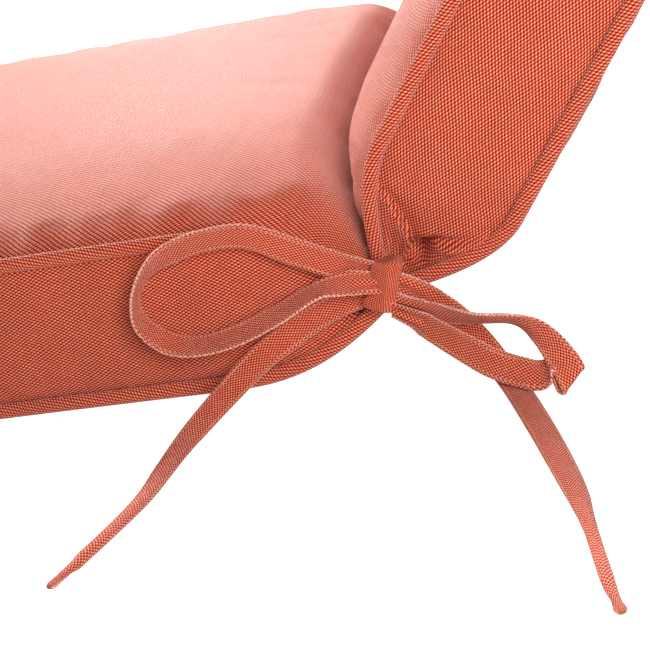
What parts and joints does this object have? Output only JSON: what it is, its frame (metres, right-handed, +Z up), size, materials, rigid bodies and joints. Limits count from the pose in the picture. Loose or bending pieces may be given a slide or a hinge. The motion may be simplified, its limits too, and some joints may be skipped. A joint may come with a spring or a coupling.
{
  "type": "high back chair cushion",
  "caption": "Folded high back chair cushion: a filled seat and back in one piped cover, sewn at a hinge, with a tape tie bow at each end of the hinge.",
  "frame": {"origin": "on the ground under the middle of the whole outline, ties included", "axes": "+X across the seat, from the left tie to the right tie; +Y from the seat's front edge to the back; +Z up"},
  "size_m": [1.1204, 0.9354, 0.529],
  "materials": {
    "cover": "matt plain weave",
    "piping": "matt plain weave on the bias",
    "tape": "matt plain weave"
  },
  "bodies": {
    "root": {"cushion": "cover", "welt_seat_top": "piping", "welt_seat_bottom": "piping", "welt_back_front": "piping", "welt_back_rear": "piping", "knot_right": "tape", "knot_left": "tape", "loop_front_right": "tape", "loop_front_left": "tape", "loop_rear_right": "tape", "loop_rear_left": "tape", "tail_front_right": "tape", "tail_front_left": "tape", "tail_rear_right": "tape", "tail_rear_left": "tape"}
  },
  "joints": []
}
